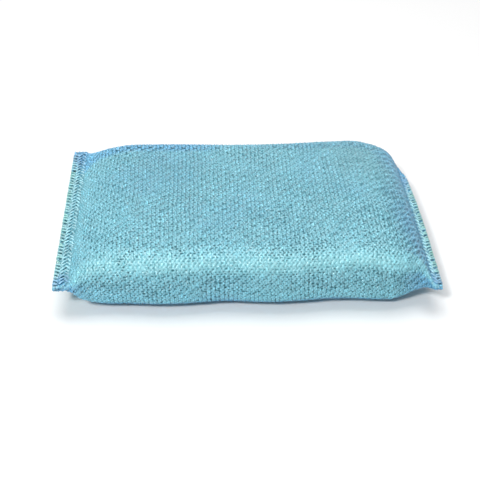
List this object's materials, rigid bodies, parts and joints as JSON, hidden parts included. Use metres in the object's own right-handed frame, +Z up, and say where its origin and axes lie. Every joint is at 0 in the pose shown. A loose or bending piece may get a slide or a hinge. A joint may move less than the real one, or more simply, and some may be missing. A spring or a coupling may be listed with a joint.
{
  "type": "cleaning sponge",
  "caption": "Soft rectangular scouring sponge: a foam pad inside a shiny knitted mesh tube whose two ends are pressed flat and stitched.",
  "frame": {"origin": "centre of the overall box on the surface that the sponge lies on", "axes": "+X along the length from the left stitched end to the right one, +Y from the front long edge to the back one, +Z up"},
  "size_m": [0.135, 0.0878, 0.025],
  "materials": {
    "mesh": "glossy metallised yarn, aqua blue",
    "foam": "matt open-cell foam, teal",
    "thread": "satin sewing thread, pale green aqua"
  },
  "bodies": {
    "root": {"mesh_sleeve": "mesh", "foam_core": "foam", "left_end_stitching": "thread", "right_end_stitching": "thread"}
  },
  "joints": []
}
